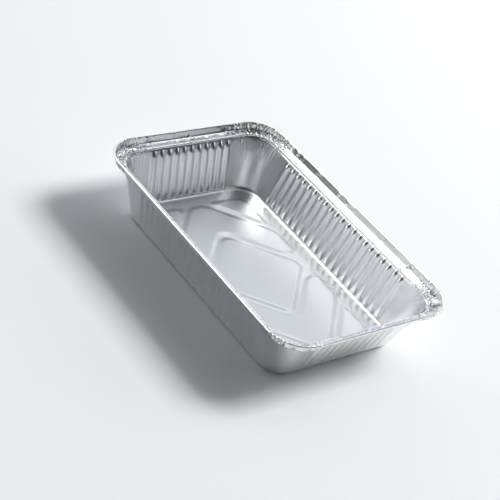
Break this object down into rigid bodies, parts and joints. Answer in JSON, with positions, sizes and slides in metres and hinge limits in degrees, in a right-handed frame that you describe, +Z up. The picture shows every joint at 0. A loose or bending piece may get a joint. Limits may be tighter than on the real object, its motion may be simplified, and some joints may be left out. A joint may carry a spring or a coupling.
{
  "type": "foil food container",
  "caption": "Shallow oblong food tray pressed from one sheet of foil, with folded ribs up its walls, raised panels in its base, a flat lid ledge and an upstanding curled rim.",
  "frame": {"origin": "middle of the base's outline, on the plane that the container stands on", "axes": "+Z up and out of the open mouth, +X along the long sides, +Y along the short sides"},
  "size_m": [0.216, 0.146, 0.0442],
  "materials": {
    "foil": "bright rolled foil, lightly creased where it is drawn"
  },
  "bodies": {
    "root": {"foil_container": "foil"}
  },
  "joints": []
}
